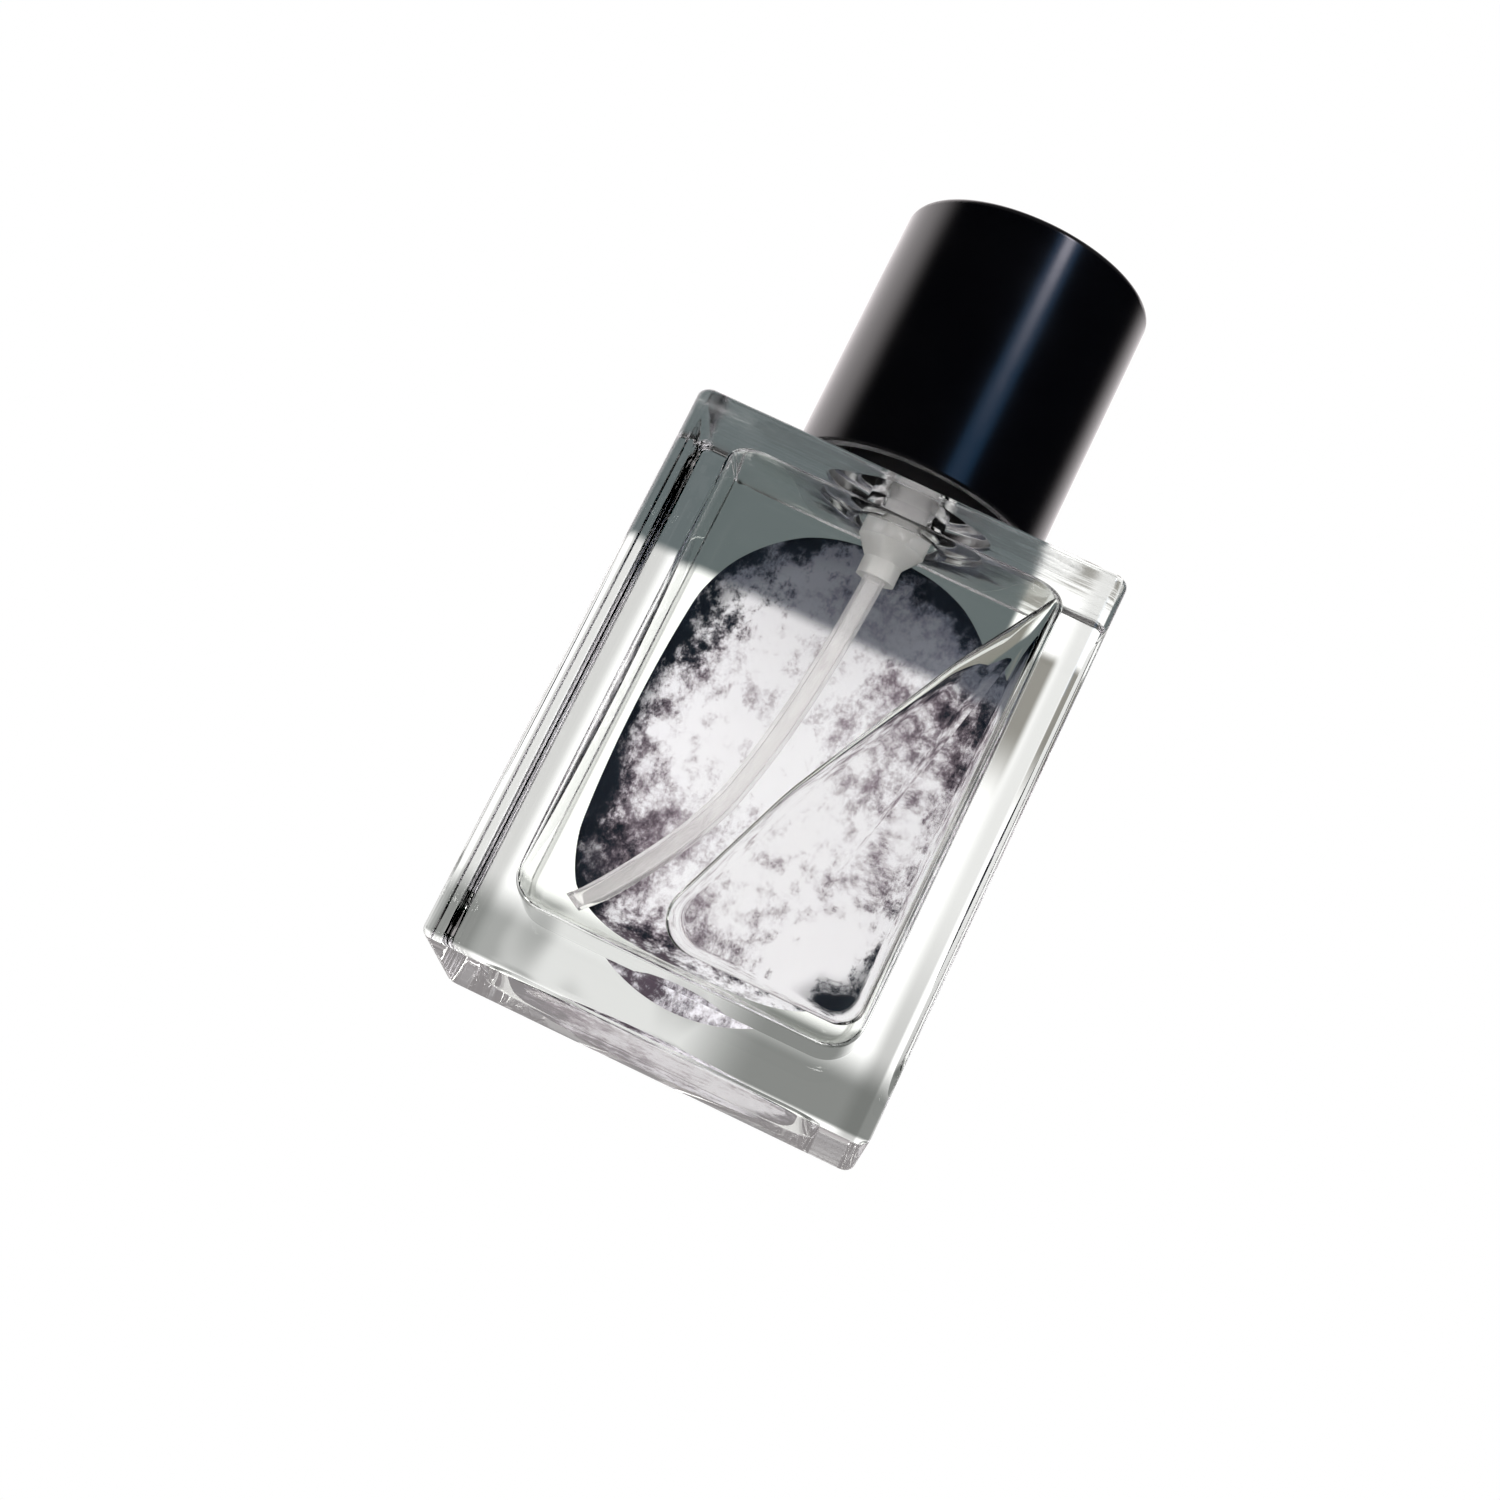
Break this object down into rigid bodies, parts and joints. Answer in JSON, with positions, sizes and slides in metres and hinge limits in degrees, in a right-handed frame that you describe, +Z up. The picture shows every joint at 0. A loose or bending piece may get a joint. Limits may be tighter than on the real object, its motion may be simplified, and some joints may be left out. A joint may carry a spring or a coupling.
{
  "type": "aftershave bottle",
  "caption": "Clear rectangular glass spray bottle with a thick base, an oval label on its back, a crimped pump with a dip tube, and a plain round black push-on cap.",
  "frame": {"origin": "centre of the underside of the glass base", "axes": "+Z up along the bottle's axis to the cap, -Y out of the clear front face, +X to the right of it"},
  "size_m": [0.052, 0.0321, 0.1032],
  "materials": {
    "clear_glass": "polished clear glass",
    "aftershave": "clear liquid",
    "label_paper": "printed uncoated paper",
    "cap_black": "satin gloss",
    "liner_black": "moulded",
    "collar_metal": "black anodised",
    "ferrule_metal": "drawn",
    "gasket_rubber": "matt",
    "pump_plastic": "translucent moulded",
    "stem_plastic": "moulded",
    "spring_steel": "drawn wire",
    "ball_steel": "polished",
    "tube_plastic": "translucent extruded",
    "button_plastic": "moulded",
    "button_metal": "black anodised"
  },
  "bodies": {
    "bottle": {"glass_bottle": "clear_glass", "aftershave_fill": "aftershave", "oval_label": "label_paper", "pump_housing": "pump_plastic", "neck_gasket": "gasket_rubber", "crimp_ferrule": "ferrule_metal", "collar": "collar_metal", "stem_seal": "gasket_rubber", "pump_turret": "stem_plastic", "return_spring": "spring_steel", "dip_tube": "tube_plastic"},
    "plunger": {"pump_stem": "stem_plastic", "pump_piston": "stem_plastic", "poppet_valve": "stem_plastic"},
    "button": {"spray_button": "button_plastic", "button_sleeve": "button_metal", "nozzle_insert": "stem_plastic"},
    "ball": {"inlet_ball": "ball_steel"},
    "cap": {"cap_shell": "cap_black", "cap_liner": "liner_black", "cap_grip": "liner_black"}
  },
  "joints": [
    {"name": "cap_pull", "type": "slide", "parent": "bottle", "child": "cap", "axis": [0, 0, 1], "range_m": [0, 0.04]},
    {"name": "pump_press", "type": "slide", "parent": "bottle", "child": "plunger", "axis": [0, 0, -1], "range_m": [0, 0.0036], "stiffness_N_per_m": 1500, "springref_m": -0.004, "deforming": ["return_spring"]},
    {"name": "button_swivel", "type": "hinge", "parent": "plunger", "child": "button", "pos_m": [0, 0, 0.0885], "axis": [0, 0, 1], "continuous": true},
    {"name": "ball_lift", "type": "slide", "parent": "bottle", "child": "ball", "axis": [0, 0, 1], "range_m": [0, 0.0007]}
  ]
}
